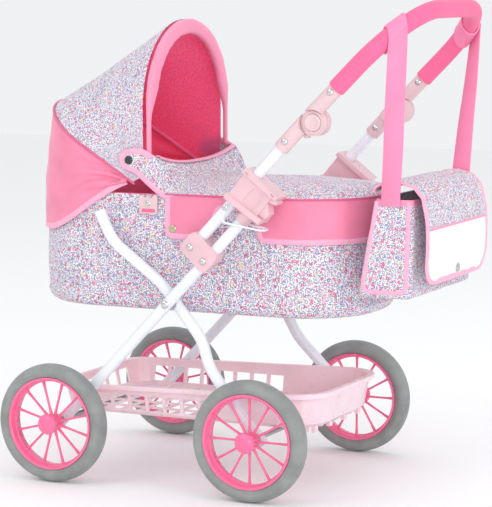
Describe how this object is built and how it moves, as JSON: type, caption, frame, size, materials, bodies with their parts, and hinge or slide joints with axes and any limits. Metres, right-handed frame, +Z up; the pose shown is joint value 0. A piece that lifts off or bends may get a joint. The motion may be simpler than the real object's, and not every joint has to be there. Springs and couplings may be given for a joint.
{
  "type": "doll stroller",
  "caption": "Doll stroller with a folding X-frame of steel tubes, spoked wheels, a carrycot with hood and cover, an openwork basket, an adjustable handle and a shoulder bag hung from it.",
  "frame": {"origin": "on the floor below the middle of the bounding box", "axes": "+Z up, +X towards the handle and the pusher, +Y to the pusher's right"},
  "size_m": [0.6377, 0.425, 0.685],
  "materials": {
    "frame_tube": "gloss",
    "rivet_chrome": "polished",
    "axle_steel": "satin",
    "bracket_plastic": "semi-gloss",
    "joint_plastic": "satin",
    "basket_plastic": "semi-gloss",
    "wheel_plastic": "gloss",
    "tyre_foam": "matte",
    "grip_foam": "matte",
    "floral_fabric": "matte",
    "pink_fabric": "matte",
    "black_snap": "gloss",
    "metal_snap": "satin"
  },
  "bodies": {
    "front_frame": {"front_leg_left": "frame_tube", "front_leg_right": "frame_tube", "handle_tube_left": "frame_tube", "handle_tube_right": "frame_tube", "coupler_left": "bracket_plastic", "coupler_right": "bracket_plastic", "coupler_rivet_handle_left": "rivet_chrome", "coupler_rivet_handle_right": "rivet_chrome", "coupler_rivet_leg_left": "rivet_chrome", "coupler_rivet_leg_right": "rivet_chrome", "cot_bracket_left": "bracket_plastic", "cot_bracket_right": "bracket_plastic", "joint_lower_left": "joint_plastic", "joint_lower_right": "joint_plastic", "joint_rivet_lower_left": "rivet_chrome", "joint_rivet_lower_right": "rivet_chrome", "bail_rivet_left": "rivet_chrome", "bail_rivet_right": "rivet_chrome", "cross_pin_left": "rivet_chrome", "cross_pin_right": "rivet_chrome", "front_axle": "axle_steel", "basket": "basket_plastic"},
    "rear_frame": {"rear_leg_left": "frame_tube", "rear_leg_right": "frame_tube", "rear_axle": "axle_steel"},
    "handle": {"joint_upper_left": "joint_plastic", "joint_upper_right": "joint_plastic", "joint_rivet_upper_left": "rivet_chrome", "joint_rivet_upper_right": "rivet_chrome", "handle_bow": "frame_tube", "grip": "grip_foam"},
    "bag": {"bag_body": "floral_fabric", "bag_strap_left": "pink_fabric", "bag_strap_right": "pink_fabric"},
    "bag_flap": {"bag_flap": "floral_fabric", "bag_snap": "metal_snap"},
    "cot": {"cot_body": "floral_fabric", "cot_cover": "pink_fabric", "hood_curtain": "pink_fabric", "hood_back_bow": "frame_tube", "hood_canopy": "floral_fabric", "hood_clip_left": "joint_plastic", "hood_clip_right": "joint_plastic", "tab_snap_left": "black_snap", "tab_snap_right": "black_snap", "skirt_snap_left": "metal_snap", "skirt_snap_right": "metal_snap"},
    "hood_front": {"hood_rim": "pink_fabric"},
    "wheel_front_left": {"wheel_front_left": "wheel_plastic", "tyre_front_left": "tyre_foam"},
    "wheel_front_right": {"wheel_front_right": "wheel_plastic", "tyre_front_right": "tyre_foam"},
    "wheel_rear_left": {"wheel_rear_left": "wheel_plastic", "tyre_rear_left": "tyre_foam"},
    "wheel_rear_right": {"wheel_rear_right": "wheel_plastic", "tyre_rear_right": "tyre_foam"},
    "button_left": {"joint_button_left": "joint_plastic"},
    "bail_left": {"bail_left": "frame_tube"},
    "button_right": {"joint_button_right": "joint_plastic"},
    "bail_right": {"bail_right": "frame_tube"}
  },
  "joints": [
    {"name": "chassis_fold", "type": "hinge", "parent": "front_frame", "child": "rear_frame", "pos_m": [-0.05344, 0, 0.26242], "axis": [0, 1, 0], "range_deg": [0, 37]},
    {"name": "handle_adjust", "type": "hinge", "parent": "front_frame", "child": "handle", "pos_m": [0.16931, 0, 0.52201], "axis": [0, 1, 0], "range_deg": [0, 60]},
    {"name": "bag_hang", "type": "hinge", "parent": "handle", "child": "bag", "pos_m": [0.30639, 0, 0.67294], "axis": [0, 1, 0], "range_deg": [-60, 0], "deforming": ["bag_strap_left", "bag_strap_right"]},
    {"name": "bag_flap_open", "type": "hinge", "parent": "bag", "child": "bag_flap", "pos_m": [0.2411, 0, 0.4335], "axis": [0, -1, 0], "range_deg": [0, 120]},
    {"name": "cot_lift", "type": "slide", "parent": "front_frame", "child": "cot", "axis": [0, 0, 1], "range_m": [0, 0.3]},
    {"name": "hood_fold", "type": "hinge", "parent": "cot", "child": "hood_front", "pos_m": [-0.1094, 0, 0.4165], "axis": [0, -1, 0], "range_deg": [0, 45], "deforming": ["hood_canopy"]},
    {"name": "wheel_front_left_spin", "type": "hinge", "parent": "front_frame", "child": "wheel_front_left", "pos_m": [-0.2224, -0.19, 0.085], "axis": [0, 1, 0], "continuous": true},
    {"name": "wheel_front_right_spin", "type": "hinge", "parent": "front_frame", "child": "wheel_front_right", "pos_m": [-0.2224, 0.19, 0.085], "axis": [0, 1, 0], "continuous": true},
    {"name": "wheel_rear_left_spin", "type": "hinge", "parent": "rear_frame", "child": "wheel_rear_left", "pos_m": [0.0876, -0.19, 0.085], "axis": [0, 1, 0], "continuous": true},
    {"name": "wheel_rear_right_spin", "type": "hinge", "parent": "rear_frame", "child": "wheel_rear_right", "pos_m": [0.0876, 0.19, 0.085], "axis": [0, 1, 0], "continuous": true},
    {"name": "button_left_press", "type": "slide", "parent": "handle", "child": "button_left", "axis": [0, 1, 0], "range_m": [0, 0.003], "stiffness_N_per_m": 400},
    {"name": "bail_left_swing", "type": "hinge", "parent": "front_frame", "child": "bail_left", "pos_m": [0.04284, -0.161, 0.40341], "axis": [0, 1, 0], "range_deg": [0, 50]},
    {"name": "button_right_press", "type": "slide", "parent": "handle", "child": "button_right", "axis": [0, -1, 0], "range_m": [0, 0.003], "stiffness_N_per_m": 400},
    {"name": "bail_right_swing", "type": "hinge", "parent": "front_frame", "child": "bail_right", "pos_m": [0.04284, 0.161, 0.40341], "axis": [0, 1, 0], "range_deg": [0, 50]}
  ],
  "couplings": [
    {"joint": "bag_hang", "follows": "handle_adjust", "ratio": -1}
  ]
}
